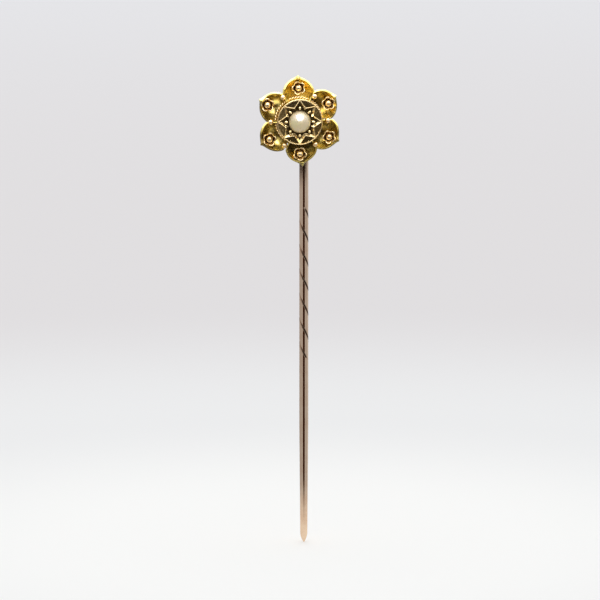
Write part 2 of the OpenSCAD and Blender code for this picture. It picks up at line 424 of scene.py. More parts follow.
# How much painted shade each petal has beside the boss, at its point, on its rim where that doesn't face
# up, and low on its inside. After those, for all petals alike: painted shade round the floret's foot,
# tarnish on the back, and the painted shade added to that beside the back plate.
DRUM_PAINTED_SHADE = (0.3, 0.2, 0.85, 1.0, 1.0, 0.95)
TIP_PAINTED_SHADE = (0.0, 0.25, 0.6, 1.0, 0.6, 0.1)
RIM_PAINTED_SHADE = (0.4, 0.9, 0.95, 0.65, 0.75, 0.8)
LOW_PAINTED_SHADE = (0.0, 0.95, 0.0, 0.0, 0.0, 0.0)
CUP_PAINTED_SHADE = 0.4
BACK_GRIME = 0.2
CREVICE_SHADE = 0.5
# The painted shade beside the boss is whole within this distance of the flower's middle and gone
# DRUM_SHADE_W further out. It lies on one side only where the side isn't 0.
DRUM_SHADE_R = (3.1, 3.0, 3.2, 3.45, 3.35, 3.5)
DRUM_SHADE_SIDE = (0, 0, 0, 0, -1, 1)
DRUM_SHADE_W = 0.9
POINT_SPREAD = 8.5  # degrees off the point by which its extra reach has fallen to about a third
SECTOR_GAP = 0.01
ROLL = 0.17  # width of the rolled border
ROLL_SIDE = 0.09  # the least room left for it at the petal's two sides
ROLL_DROP = 0.3  # the most that the border turns back
BOWL = 0.94  # the hollow's profile is a circle's, out to this share of its radius
PETAL_COLUMNS = 168


def petal_angle(i):
    """The direction of a petal's point before its lean, counter-clockwise from the right."""
    return math.radians(90 + i * 360 / PETALS)


def petal_reach(angles, edge, gap=None):
    """Distance from the dish's middle to the border edge(off_point) along each angle.

    With a gap, the border is also cut off at the boss and at that gap from the petal's two sides.
    """

    def inside(reach):
        u = DISH_C + reach * np.cos(angles)
        v = reach * np.sin(angles)
        off_middle = np.hypot(u - PETAL_C, v)
        off_point = np.degrees(np.abs(np.arctan2(v, u - PETAL_C)))
        if gap is None:
            return off_middle < edge(off_point)
        side = math.pi / PETALS
        off_side = u * math.sin(side) - np.abs(v) * math.cos(side)
        return (off_middle < edge(off_point)) & (np.hypot(u, v) > DRUM_R) & (off_side > gap)

    low = np.zeros_like(angles)
    high = np.full_like(angles, 3.0)
    for _ in range(40):
        middle = (low + high) / 2
        good = inside(middle)
        low = np.where(good, middle, low)
        high = np.where(good, high, middle)
    return low


def petal_angles(count):
    """Angles round a petal, closest together at its point."""
    share = np.linspace(-1, 1, count, endpoint=False) + 1 / count
    return np.sign(share) * math.pi * np.abs(share) ** 1.35


def petal_shape(i):
    """A thin dish whose border rolls over and back, drawn out to a point at its outer end."""
    angles = petal_angles(PETAL_COLUMNS)
    round_r = PETAL_R + PETAL_SWELL[i]
    point = TIP_R + PETAL_STRETCH[i] - PETAL_C - round_r

    def outer(off_point):
        return round_r + point * np.exp(-off_point / POINT_SPREAD)

    def inner(off_point):
        return round_r - ROLL + 0.3 * point * np.exp(-off_point / POINT_SPREAD)

    reach = petal_reach(angles, outer, SECTOR_GAP)
    crest = petal_reach(angles, inner, ROLL_SIDE)
    open_reach = petal_reach(angles, inner)
    c, s = np.cos(angles), np.sin(angles)
    turn = petal_angle(i) + math.radians(PETAL_LEAN[i])
    upward = np.sin(angles + turn)
    floret = spun([grain_place(f"floret_grain_{i + 1}")[0]], -turn)[0]

    def ring(distance, height):
        return np.stack([DISH_C + distance * c, distance * s, height], axis=1)

    def hollow(distance, radius):
        return DISH_Z - np.sqrt(np.maximum(radius**2 - distance**2, 0.02))

    # the rim stands at one height all round, but sinks towards the boss
    rim = np.minimum(hollow(reach, DISH_R), RIM_H)
    raised = smooth_step(rim, 0.85, 1.6)
    unevenness = 0.025 * np.sin(3 * angles + 1.7 * i) + 0.015 * np.sin(5 * angles + 0.9 * i)
    rim = rim + raised * (unevenness - 0.03)
    rolled = np.maximum(reach - crest, 0.02)
    drop = np.minimum(1.1 * rolled, ROLL_DROP) * raised
    rings, tarnish_and_shade = [], []
    floor = hollow(0, DISH_R)

    def bowl(distance):
        share = np.minimum(distance / open_reach, 1) * BOWL
        return floor + (RIM_H - floor) * (1 - np.sqrt(1 - share**2)) / (1 - math.sqrt(1 - BOWL**2))

    def inside_painted_shade(distance, share):
        """Painted shade beside the boss, round the floret's foot, at the point and low down."""
        u = DISH_C + distance * c
        v = distance * s
        near_drum = 1 - smooth_step(np.hypot(u, v), DRUM_SHADE_R[i], DRUM_SHADE_R[i] + DRUM_SHADE_W)
        near_drum = near_drum * smooth_step(DRUM_SHADE_SIDE[i] * v, -0.8, -0.1)
        near_cup = 1 - smooth_step(np.hypot(u - floret[0], v - floret[1]), 0.45, 0.95)
        near_tip = smooth_step(share, 0.4, 0.75) * (1 - smooth_step(np.abs(angles), 0.5, 1.1))
        low_side = smooth_step(share, 0.3, 0.6) * smooth_step(-upward, 0.2, 0.8)
        return np.maximum.reduce([near_drum * DRUM_PAINTED_SHADE[i], near_cup * CUP_PAINTED_SHADE,
                                  near_tip * TIP_PAINTED_SHADE[i], low_side * LOW_PAINTED_SHADE[i]])

    # the hollow, from its middle out to the crest of the rim
    curl = rim - bowl(crest)
    for share in np.concatenate([np.linspace(0.02, 0.9, 24), [0.94, 0.97]]):
        distance = crest * share
        rings.append(ring(distance, bowl(distance) + curl * share**6))
        tarnish_and_shade.append(inside_painted_shade(distance, share))
    # over the crest and down the rolled border, with painted shade where it doesn't face up
    for a in np.radians([100, 84, 68, 52, 38, 24, 10, 0]):
        rings.append(ring(reach - rolled * (1 - math.cos(a)), rim - drop * (1 - math.sin(a))))
        tarnish_and_shade.append(RIM_PAINTED_SHADE[i] * (1 - smooth_step(upward, 0.1, 0.7)))
    # the back, from the border down to the back plate: tarnish, with painted shade beside the back plate
    for share in np.linspace(0.99, 0.02, 20):
        distance = reach * share
        back = hollow(distance, DISH_R + SHEET)
        height = np.minimum(rim - drop - 0.05, np.maximum(back, BACK_H - 0.03))
        rings.append(ring(distance, height))
        off_plate = np.hypot(DISH_C + distance * c, distance * s) - BACK_R
        tarnish_and_shade.append(BACK_GRIME + CREVICE_SHADE * (1 - smooth_step(off_plate, 0.02, 0.55)))
    points, faces = closed_grid(rings)
    tarnish_and_shade = np.concatenate([[tarnish_and_shade[0].mean()], *tarnish_and_shade, [tarnish_and_shade[-1].mean()]])
    return spun(points, turn), faces, tarnish_and_shade


def make_petals():
    """The six petals, each a piece of its own."""
    for i in range(PETALS):
        points, faces, tarnish_and_shade = petal_shape(i)
        name = f"petal_{i + 1}_sheet"
        piece = make_piece(name, in_row(points), faces, tarnish_and_shade, YELLOW_GOLD, "yellow_gold",
                           [f"petal_{i + 1}"])
        BLOOM.objects.link(piece)


# ---------------------------------------------------------------------------
# Florets and grains
# ---------------------------------------------------------------------------
CUP_LOBES = 5
CUP_HEIGHT = 0.92
CUP_SKIN = 0.15
CUP_FLOOR = 0.34


def cup_shape(i):
    """A small flower cup, its thick rim cut into slightly pointed lobes, in the cup's own frame."""
    angles = np.linspace(0, 2 * math.pi, 120, endpoint=False)
    share = (angles * CUP_LOBES / (2 * math.pi) + 0.23 * i) % 1.0
    valley = np.abs(share - 0.5) * 2
    reach = 1 - 0.06 * valley - 0.13 * valley**3
    lift = 1 - 0.06 * valley - 0.26 * valley**3
    c, s = np.cos(angles), np.sin(angles)

    def ring(radius, height):
        return np.stack([radius * c, radius * s, height], axis=1)

    def flare(t):
        return CUP_R * (0.50 + 0.34 * math.sin(t * math.pi / 2) + 0.16 * t**3)

    rings, tarnish_and_shade = [], []
    # outside, from the foot up to the rim: a belly, then a flare, with painted shade towards the foot
    for t in np.linspace(0, 1, 12):
        rings.append(ring(flare(t) * (1 - (1 - reach) * t**1.5), CUP_HEIGHT * t * (1 - (1 - lift) * t)))
        tarnish_and_shade.append(np.full_like(angles, 0.8 * (1 - t)))
    # over the round rim
    top = ring(flare(1) * reach, CUP_HEIGHT * lift)
    for turn in (45, 90, 135):
        a = math.radians(turn)
        inward = CUP_SKIN / 2 * (1 - math.cos(a))
        rings.append(top + ring(-inward + 0 * angles, CUP_SKIN / 2 * math.sin(a) + 0 * angles))
        tarnish_and_shade.append(np.zeros_like(angles))
    # inside, back down to the bottom, with painted shade deeper in
    for t in np.linspace(0.97, 0.0, 10):
        grown = (flare(t) - CUP_SKIN) * (1 - (1 - reach) * t**1.5)
        rings.append(ring(grown, CUP_FLOOR + (CUP_HEIGHT - CUP_FLOOR) * t * (1 - (1 - lift) * t)))
        tarnish_and_shade.append(np.full_like(angles, min(1.4 * (1 - t), 0.8)))
    points, faces = closed_grid(rings)
    return points, faces, np.concatenate([[0.8], *tarnish_and_shade, [0.85]])


def ball(radius, squash=1.0, steps=(14, 28)):
    """A round grain, flattened or drawn out along z, with painted shade on the side towards the flower's
    back.
    """
    rings = []
    for lat in np.linspace(-88, 88, steps[0]):
        a = math.radians(lat)
        turn = np.linspace(0, 2 * math.pi, steps[1], endpoint=False)
        wide = radius * math.cos(a)
        height = radius * squash * math.sin(a)
        rings.append(round_ring(wide, height, turn))
    points, faces = closed_grid(rings)
    level = points[:, 2] / (radius * squash)
    return points, faces, smooth_step(-level, -0.1, 0.8)


def make_florets():
    """In each petal a cup, its foot shaped to the hollow, and the grain in it."""
    for i in range(PETALS):
        place, radius = grain_place(f"floret_grain_{i + 1}")
        points, faces, tarnish_and_shade = cup_shape(i)
        points = points + place - [0, 0, GRAIN_LIFT]
        # the cup's foot is shaped to the petal's hollow
        dish = spun([[DISH_C, 0, 0]], petal_angle(i) + math.radians(PETAL_LEAN[i]))[0]
        aside = np.hypot(points[:, 0] - dish[0], points[:, 1] - dish[1])
        hollow = DISH_Z - np.sqrt(np.maximum(DISH_R**2 - aside**2, 0.02))
        points[:, 2] = np.maximum(points[:, 2], hollow - 0.03)
        make_piece(f"floret_{i + 1}_cup", in_row(points), faces, tarnish_and_shade, FLORET_GOLD, "yellow_gold",
                   [f"floret_cup_{i + 1}"])
        points, faces, tarnish_and_shade = ball(radius * 1.2)
        make_piece(f"floret_{i + 1}_grain", in_row(points + place), faces, tarnish_and_shade * 0.7, BRIGHT_GOLD,
                   "bright_gold", [f"floret_grain_{i + 1}"])


def make_cleft_grains():
    """A round grain in each cleft between two petals."""
    for i in range(PETALS):
        place, radius = grain_place(f"cleft_grain_{i + 1}")
        points, faces, tarnish_and_shade = ball(radius, squash=1.08)
        make_piece(f"cleft_{i + 1}_grain", in_row(points + place), faces, tarnish_and_shade, BRIGHT_GOLD,
                   "bright_gold", [f"cleft_grain_{i + 1}"])


# ---------------------------------------------------------------------------
# Boss, rope collar, star plate and pearl
# ---------------------------------------------------------------------------
def lathe(profile, tarnish_and_shade, count=128):
    """A closed round shape from (radius, height) pairs, from one end of the axis to the other.

    Its tarnish_and_shade is one number, or a function of radius and height.
    """
    turn = np.linspace(0, 2 * math.pi, count, endpoint=False)
    rings = [round_ring(r, z, turn) for r, z in profile]
    points, faces = closed_grid(rings)
    if callable(tarnish_and_shade):
        levels = [tarnish_and_shade(r, z) for r, z in profile]
    else:
        levels = [tarnish_and_shade for _ in profile]
    values = np.concatenate([[levels[0]], np.repeat(levels, count), [levels[-1]]])
    return points, faces, values


DRUM_EDGE = 0.05
DRUM_WAIST = 0.03


def make_boss():
    """The round wall that lifts the star plate above the petals, with a slight waist."""
    top = PLATE_BASE

    # painted shade on the wall behind the rope, towards the petals
    def boss_wall_shade(r, z):
        return 1.0 - 0.5 * float(smooth_step(z, 1.3, 1.9))

    profile = [(END_R, BACK_H), (DRUM_R, BACK_H), (DRUM_R, BACK_H + DRUM_EDGE)]
    profile += [(DRUM_R - DRUM_WAIST * math.sin(t * math.pi),
                 BACK_H + DRUM_EDGE + (top - BACK_H - 2 * DRUM_EDGE) * t)
                for t in np.linspace(0.05, 0.95, 12)]
    profile += [(DRUM_R, top - DRUM_EDGE), (DRUM_R, top), (END_R, top)]
    points, faces, tarnish_and_shade = lathe(profile, tarnish_and_shade=boss_wall_shade)
    # painted shade: darker on its lower side than on its upper
    tarnish_and_shade = tarnish_and_shade * (0.7 - 0.5 * points[:, 1] / DRUM_R)
    make_piece("boss_wall", in_row(points), faces, tarnish_and_shade, YELLOW_GOLD, "yellow_gold", ["boss_drum"],
               crease=50)


def rope_strand(phase):
    """One wire of the rope collar: a helix wound round a circle, swept as a round tube."""
    rings, sides = ROPE_TURNS * 14, 10
    a = np.linspace(0, 2 * math.pi, rings, endpoint=False)

    def line(way):
        lay = way * ROPE_TURNS + phase
        reach = ROPE_R + ROPE_WIRE_R * np.cos(lay)
        height = ROPE_H + ROPE_WIRE_R * np.sin(lay)
        return np.stack([reach * np.cos(way), reach * np.sin(way), height], axis=1)

    here = line(a)
    along = line(a + 1e-4) - here
    along /= np.linalg.norm(along, axis=1, keepdims=True)
    side = np.cross([0, 0, 1], along)
    side /= np.linalg.norm(side, axis=1, keepdims=True)
    up = np.cross(along, side)
    turn = np.linspace(0, 2 * math.pi, sides, endpoint=False)
    round_wire = side[:, None] * np.cos(turn)[None, :, None] + up[:, None] * np.sin(turn)[None, :, None]
    points = (here[:, None] + ROPE_WIRE_R * 1.04 * round_wire).reshape(-1, 3)
    faces = grid_faces(rings, sides)
    faces += [((rings - 1) * sides + k, (rings - 1) * sides + (k + 1) % sides, (k + 1) % sides, k)
              for k in range(sides)]
    # darker towards the rope's core, where the wires meet
    core = np.repeat(round_ring(ROPE_R, ROPE_H, a), sides, axis=0)
    out = np.linalg.norm(points - core, axis=1) / (2 * ROPE_WIRE_R)
    return points, faces, 1 - smooth_step(out, 0.45, 0.85)


def make_rope():
    """The two strands of the rope collar, half a turn apart."""
    for k in (1, 2):
        points, faces, tarnish_and_shade = rope_strand(math.pi * (k - 1))
        make_piece(f"rope_strand_{k}", in_row(points), faces, tarnish_and_shade, BRIGHT_GOLD, "bright_gold",
                   [f"rope_wire_{k}"])


STAR_POINTS = 8
PLATE_DROP = 0.08
STAR_TIP = 2.34
STAR_CORNER = 1.58
STAR_FLARE = 0.16  # the share by which the star is wider at its mouth than at its floor
STAR_EDGE_FOOT = 1.045  # foot of the edge that stands round the star, as a share of its mouth
STAR_EDGE_TOP = (1.03, 1.008)  # and the outer and inner side of that edge's top
STAR_STEPS = 46  # columns of the plate's skin from a tip to the next corner
RIM_W = 0.11
FIELD_DEPTH = 0.08
# the fields' painted shade on their lightest side
FIELD_SHADE_LEAST = 0.81
HATCH_PITCH = 0.135
HATCH_DEPTH = 0.014
FIELD_SHADE_SIDE = math.radians(-60)  # the side on which the fields' painted shade is darkest
CLAW_R = 0.18
CLAW_C = 1.72


def star_edge(angles, scale):
    """Distance from the middle to the star's outline along each angle."""
    step = math.pi / STAR_POINTS
    fold = np.abs((angles + step) % (2 * step) - step)
    tip = np.array([STAR_TIP, 0.0]) * scale
    corner = np.array([math.cos(step), math.sin(step)]) * STAR_CORNER * scale
    way = corner - tip
    return (tip[0] * way[1]) / (way[1] * np.cos(fold) - way[0] * np.sin(fold))


def star_wall_shade(angles):
    """How much painted shade the star's wall gets along each angle: most where the wall looks down."""
    step = math.pi / STAR_POINTS
    turn = (angles + step) % (2 * step) - step
    point = angles - turn
    lean = math.atan2(STAR_CORNER * math.sin(step), STAR_TIP - STAR_CORNER * math.cos(step))
    inward = point + np.sign(turn + 1e-9) * (math.pi / 2 - lean) + math.pi
    return 1 - smooth_step(np.sin(inward), -0.55, 0.35)


def star_plate_shape():
    """The plate with its raised rim, sunk star with sloping walls, and hatched fields."""
    angles = np.linspace(0, 2 * math.pi, 2 * STAR_POINTS * STAR_STEPS, endpoint=False)
    c, s = np.cos(angles), np.sin(angles)
    floor_edge = star_edge(angles, 1.0)
    mouth = star_edge(angles, 1 + STAR_FLARE)
    rim_in = PLATE_R - RIM_W
    step = math.pi / STAR_POINTS
    aside = (angles % (2 * step)) - step

    def ring(radius, height):
        return np.stack([radius * c, radius * s, np.zeros_like(angles) + height], axis=1)

    rings, tarnish_and_shade = [], []

    def add(radius, height, dark):
        rings.append(ring(radius, height))
        tarnish_and_shade.append(np.zeros_like(angles) + dark)

    # underside, edge and rim, with painted shade on the underside and edge
    add(np.full_like(angles, END_R), PLATE_BASE, 0.5)
    add(np.full_like(angles, PLATE_R - 0.06), PLATE_BASE, 0.5)
    add(np.full_like(angles, PLATE_R - 0.01), PLATE_BASE + 0.05, 0.3)
    add(np.full_like(angles, PLATE_R), PLATE_BASE + 0.12, 0.1)
    add(np.full_like(angles, PLATE_R), PLATE_TOP - 0.05, 0.0)
    for turn in np.linspace(0, 180, 7):
        a = math.radians(turn)
        radius = PLATE_R - RIM_W / 2 + RIM_W / 2 * math.cos(a)
        add(np.full_like(angles, radius), PLATE_TOP - 0.04 + 0.05 * math.sin(a), 0.0)
    # hatched fields between the rim and the star's standing edge, with painted shade, darkest in the
    # strokes and on one side
    inner = rim_in - 0.02
    edge_out = np.minimum(mouth * STAR_EDGE_FOOT, inner - 0.012)
    room = inner - edge_out
    field_shade = FIELD_SHADE_LEAST + (1 - FIELD_SHADE_LEAST) * smooth_step(np.cos(angles - FIELD_SHADE_SIDE), -0.1, 0.4)
    sunk = FIELD_DEPTH * smooth_step(room, 0.0, 0.25)
    for t in np.linspace(0, 1, 26):
        radius = inner - room * t
        ends = smooth_step(np.minimum(t, 1 - t) * room, 0.0, 0.05)
        across = radius * np.sin(aside)
        wave = np.abs((across / HATCH_PITCH) % 1.0 - 0.5) * 2
        stroke = HATCH_DEPTH * smooth_step(wave, 0.25, 0.9) * smooth_step(room, 0.05, 0.3)
        depth = (sunk + stroke) * ends
        dark = ends * (field_shade + (1 - field_shade) * smooth_step(wave, 0.3, 0.9)) * smooth_step(room, 0.0, 0.12)
        add(radius, PLATE_TOP - 0.03 - depth, dark)
    # standing edge, sloping wall and floor of the star
    add(np.minimum(mouth * STAR_EDGE_TOP[0], edge_out - 0.002), PLATE_TOP - 0.005, 0.0)
    add(np.minimum(mouth * STAR_EDGE_TOP[1], edge_out - 0.004), PLATE_TOP - 0.005, 0.0)
    shade = star_wall_shade(angles)
    for t in np.linspace(0, 1, 6):
        add(mouth + (floor_edge - mouth) * t, PLATE_TOP - 0.02 - (STAR_DEPTH - 0.02) * t,
            np.clip(shade * 1.1 * smooth_step(t, 0.0, 0.45), 0.5 * t**3, 1))
    for t in np.linspace(0.96, 0.2, 9):
        add(floor_edge * t, STAR_FLOOR, 0.95)
    points, faces = closed_grid(rings)
    return points, faces, np.concatenate([[0.5], *tarnish_and_shade, [1.0]])


def make_star_plate():
    """The top plate and the eight small grains round the pearl, in one piece."""
    shapes = [star_plate_shape()]
    for k in range(STAR_POINTS):
        points, faces, _ = ball(CLAW_R, steps=(12, 20))
        reach = points * [1.3, 0.95, 1.0] + [CLAW_C, 0, STAR_FLOOR + 0.13]
        # painted shade on the side of each grain towards the star's floor
        dark = smooth_step(-points[:, 2] / CLAW_R, -0.1, 0.6)
        shapes.append((spun(reach, k * 2 * math.pi / STAR_POINTS), faces, dark))
    points, faces, tarnish_and_shade = joined(shapes)
    points = in_row(points - [0, PLATE_DROP, 0], turned=False)
    make_piece("star_plate_top", points, faces, tarnish_and_shade, ENGRAVED_GOLD, "engraved_gold", ["star_plate"],
               crease=60)


def make_pearl():
    """A half pearl, shaped as the cap of a ball."""
    base = BACK_Y - PEARL_HIGH[1]
    radius = (PEARL_R**2 + PEARL_H**2) / (2 * PEARL_H)
    low = math.asin((radius - PEARL_H) / radius)

    # painted shade at the pearl's foot, where it meets the plate
    def foot_shade(r, z):
        return 1 - float(smooth_step(z - base, 0.02, 0.42))

    profile = [(0.2, base)]
    for a in np.linspace(low, math.radians(89), 40):
        profile.append((radius * math.cos(a), base + PEARL_H - radius + radius * math.sin(a)))
    points, faces, tarnish_and_shade = lathe(profile, count=96, tarnish_and_shade=foot_shade)
    points = in_row(points - [0, PLATE_DROP, 0], turned=False)
    make_piece("half_pearl", points, faces, tarnish_and_shade, PEARL, "pearl", ["pearl"])


def make_back():
    """The round plate behind the petals, with its edges eased."""

    # tarnish all over, darker on its front face
    def back_darkening(r, z):
        return 0.25 + 0.5 * (z > BACK_H - 0.05)

    profile = [(END_R, 0.0), (BACK_R - 0.1, 0.0), (BACK_R - 0.03, 0.03), (BACK_R, 0.1)]
    profile += [(BACK_R, BACK_H - 0.08), (BACK_R - 0.04, BACK_H - 0.02), (BACK_R - 0.1, BACK_H)]
    profile += [(END_R, BACK_H)]
    points, faces, tarnish_and_shade = lathe(profile, tarnish_and_shade=back_darkening)
    make_piece("flower_back", in_row(points), faces, tarnish_and_shade, YELLOW_GOLD, "yellow_gold", ["back_plate"],
               crease=50)


# ---------------------------------------------------------------------------
# Shank
# ---------------------------------------------------------------------------
GRIP_H = 20.0
GRIP_LEAD = 6.32
GRIP_PHASE = 138
GROOVE_DEPTH = 0.12
GROOVE_HALF_W = 0.13
TAPER_END_R = 0.47
POINT_H = 1.3
TIP_END_R = 0.05
ELBOW_R = 1.1
# Painted shade of the flower on the neck: all round it behind the flower, and on one side of it from
# below the flower up. Each begins and is whole at the two distances below the flower's middle.
NECK_HIDDEN_SHADE = 0.45
NECK_HIDDEN_SHADE_SPAN = (3.4, 1.6)
NECK_SHADE = 0.85
NECK_SHADE_SPAN = (9.2, 5.8)
NECK_SHADE_AZIMUTH = -50


def wire_radius(z):
    """The wire's radius at each height: parallel, then a slow taper, then a short point."""
    tip = SHANK_LOW[2]
    slow = SHANK_R - (SHANK_R - TAPER_END_R) * np.clip(-z / (-tip - POINT_H), 0, 1)
    t = np.clip((z - tip) / POINT_H, 0, 1)
    point = TIP_END_R + (TAPER_END_R - TIP_END_R) * np.sin(t * math.pi / 2) ** 0.8
    return np.where(z < tip + POINT_H, point, slow)


def ring_angles():
    """Angles round the wire, closest together at its two grooves."""
    half = GROOVE_HALF_W / SHANK_R
    close = np.linspace(-1.6 * half, 1.6 * half, 13)
    wide = np.linspace(1.6 * half, math.pi - 1.6 * half, 16)[1:-1]
    return np.concatenate([close, wide, close + math.pi, wide + math.pi])


def make_shank():
    """The wire in one skin: point, taper, plain stretch, grooved grip, neck and elbow."""
    angles = ring_angles()
    groove = np.minimum(np.abs(angles), np.abs(angles - math.pi))
    groove = np.minimum(groove, np.abs(angles - 2 * math.pi))
    cut = 1 - smooth_step(groove * SHANK_R / GROOVE_HALF_W, 0.25, 1.0)
    # darker in and beside the grooves
    groove_dark = 1 - smooth_step(groove * SHANK_R / GROOVE_HALF_W, 0.8, 1.35)
    start = math.radians(GRIP_PHASE)
    tip, top = SHANK_LOW[2], FLOWER_Z
    heights = np.concatenate([
        tip + POINT_H * np.linspace(0, 1, 14) ** 1.5,
        np.linspace(tip + POINT_H, PLAIN_H, 40)[1:],
        np.linspace(PLAIN_H, PLAIN_H + GRIP_H, 260)[1:],
        np.linspace(PLAIN_H + GRIP_H, top - ELBOW_R, 24)[1:],
    ])
    across = np.array([1.0, 0, 0])
    rings, tarnish_and_shade = [], []

    def add(centre, out, side, radius, depth, twist):
        """One ring of the wire, in the plane of out and side, with its grooves depth deep."""
        r = radius - depth * cut
        around = angles + twist
        rings.append(centre + np.outer(r * np.cos(around), out) + np.outer(r * np.sin(around), side))
        behind = smooth_step(centre[2], top - NECK_HIDDEN_SHADE_SPAN[0], top - NECK_HIDDEN_SHADE_SPAN[1])
        behind = NECK_HIDDEN_SHADE * behind * (centre[1] == 0)
        facing = np.outer(np.cos(around), out) + np.outer(np.sin(around), side)
        shade_side = smooth_step(facing @ away(NECK_SHADE_AZIMUTH, 0), -0.2, 0.6)
        below = smooth_step(centre[2], top - NECK_SHADE_SPAN[0], top - NECK_SHADE_SPAN[1])
        below = NECK_SHADE * below * shade_side
        tarnish_and_shade.append(np.maximum.reduce([groove_dark * depth / GROOVE_DEPTH, below, behind + 0 * below]))

    for z in heights:
        inside = min(z - PLAIN_H, PLAIN_H + GRIP_H - z)
        depth = GROOVE_DEPTH * float(smooth_step(inside, 0.0, 0.7))
        twist = start - min(max(z - PLAIN_H, 0), GRIP_H) / GRIP_LEAD * 2 * math.pi
        add(np.array([0, 0, z]), across, np.array([0, 1.0, 0]), float(wire_radius(z)), depth, twist)
    last = start - GRIP_H / GRIP_LEAD * 2 * math.pi
    for a in np.radians(np.linspace(0, 90, 14))[1:]:
        centre = np.array([0, -ELBOW_R + ELBOW_R * math.cos(a), top - ELBOW_R + ELBOW_R * math.sin(a)])
        add(centre, across, np.array([0, math.cos(a), math.sin(a)]), SHANK_R, 0, last)
    for y in np.linspace(-ELBOW_R, BACK_Y, 5)[1:]:
        add(np.array([0, y, top]), across, np.array([0, 0, 1.0]), SHANK_R, 0, last)
    points, faces = closed_grid(rings)
    tarnish_and_shade = np.concatenate([[0], *tarnish_and_shade, [0]])
    make_piece("shank_wire_body", points, faces, tarnish_and_shade, ROSE_GOLD, "rose_gold", ["shank"])


def make_collar():
    """A solder fillet that climbs from the flower's back up the wire."""
    outer = (COLLAR_HIGH[0] - COLLAR_LOW[0]) / 2
    height = COLLAR_HIGH[1] - COLLAR_LOW[1]
    profile = [(END_R, -height)]
    for t in np.linspace(0, 1, 14):
        profile.append((SHANK_R + 0.01 + (outer - SHANK_R) * t**2.4, -height * (1 - t) ** 1.3))
    profile.append((END_R, 0.0))
    points, faces, tarnish_and_shade = lathe(profile, count=64, tarnish_and_shade=0.35)
    offset = spun(np.array([[-FLOWER_X, 0, 0]]), -FLOWER_TURN)[0]
    make_piece("solder_fillet", in_row(points + offset), faces, tarnish_and_shade, ROSE_GOLD, "rose_gold",
               ["shank_collar"])


# ---------------------------------------------------------------------------
# Floor, light and camera
# ---------------------------------------------------------------------------
def make_floor():
    """White paper with painted light: greyer away from the pin, a little lighter further off, greyer
    again at its end.
    """
    z = SHANK_LOW[2] * MM
    corners = [(x * FLOOR_HALF, y * FLOOR_HALF, z) for x, y in ((-1, -1), (1, -1), (1, 1), (-1, 1))]
    mesh = bpy.data.meshes.new("floor")
    mesh.from_pydata(corners, [], [(0, 1, 2, 3)])
    g = MaterialGraph("floor_paper")
    far = g.add("ShaderNodeVectorMath", operation="LENGTH")
    g.link(g.place, far.inputs[0])
    away_from_pin = far.outputs["Value"]
    tone = FLOOR_NEAR
    for next_tone, start, end in FLOOR_TONES:
        tone = g.mixed(g.ranged(away_from_pin, start, end, 0, 1), tone, next_tone)
    g.link(tone, g.shader.inputs["Base Color"])
    g.shader.inputs["Roughness"].default_value = 0.9
    g.shader.inputs["Specular IOR Level"].default_value = 0.0
    mesh.materials.append(g.material)
    floor = bpy.data.objects.new("floor", mesh)
    floor.visible_glossy = False
    floor.visible_diffuse = False
    floor.visible_shadow = False
    bpy.context.scene.collection.objects.link(floor)


def away(azimuth, elevation):
    """Unit vector from the pin towards a place round it."""
    a, e = math.radians(azimuth), math.radians(elevation)
    return np.array([math.sin(a) * math.cos(e), -math.cos(a) * math.cos(e), math.sin(e)])


def aimed(thing, place, target):
    """Puts a light or the camera at a place, looking at a target."""
    thing.location = place
    thing.rotation_euler = (Vector(target) - Vector(place)).to_track_quat("-Z", "Y").to_euler()


def soft_light(name, azimuth, elevation, distance, size, power, lit):
    """A round soft light aimed at the head, which lights only the pieces of one collection."""
    data = bpy.data.lights.new(name, "AREA")
    data.shape = "DISK"
    data.size = size
    data.energy = power
    lamp = bpy.data.objects.new(name, data)
    bpy.context.scene.collection.objects.link(lamp)
    middle = np.array([0, 0, FLOWER_Z]) * MM
    aimed(lamp, middle + away(azimuth, elevation) * distance, middle)
    lamp.light_linking.receiver_collection = lit
    return lamp


def make_lamps():
    """The window and its fill on the pearl, four lamps round the petals, and one overhead."""
    window = soft_light("window", VIEW_AZIMUTH + 5, 50, distance=0.42, size=0.36, power=32.0, lit=NACRE)
    window.visible_diffuse = False
    fill = soft_light("nacre_fill", VIEW_AZIMUTH + 10, -34, distance=0.35, size=0.20, power=0.24,
                      lit=NACRE)
    fill.visible_glossy = False
    soft_light("petals_left", VIEW_AZIMUTH - 72, 8, distance=0.50, size=0.56, power=0.75, lit=BLOOM)
    soft_light("petals_right", VIEW_AZIMUTH + 72, 8, distance=0.50, size=0.56, power=0.7, lit=BLOOM)
    soft_light("petals_high", VIEW_AZIMUTH, 48, distance=0.50, size=0.40, power=0.75, lit=BLOOM)
    soft_light("petals_low", VIEW_AZIMUTH, -60, distance=0.50, size=0.70, power=1.2, lit=BLOOM)
    soft_light("top", 180, 78, distance=0.40, size=0.36, power=1.5, lit=LIT)


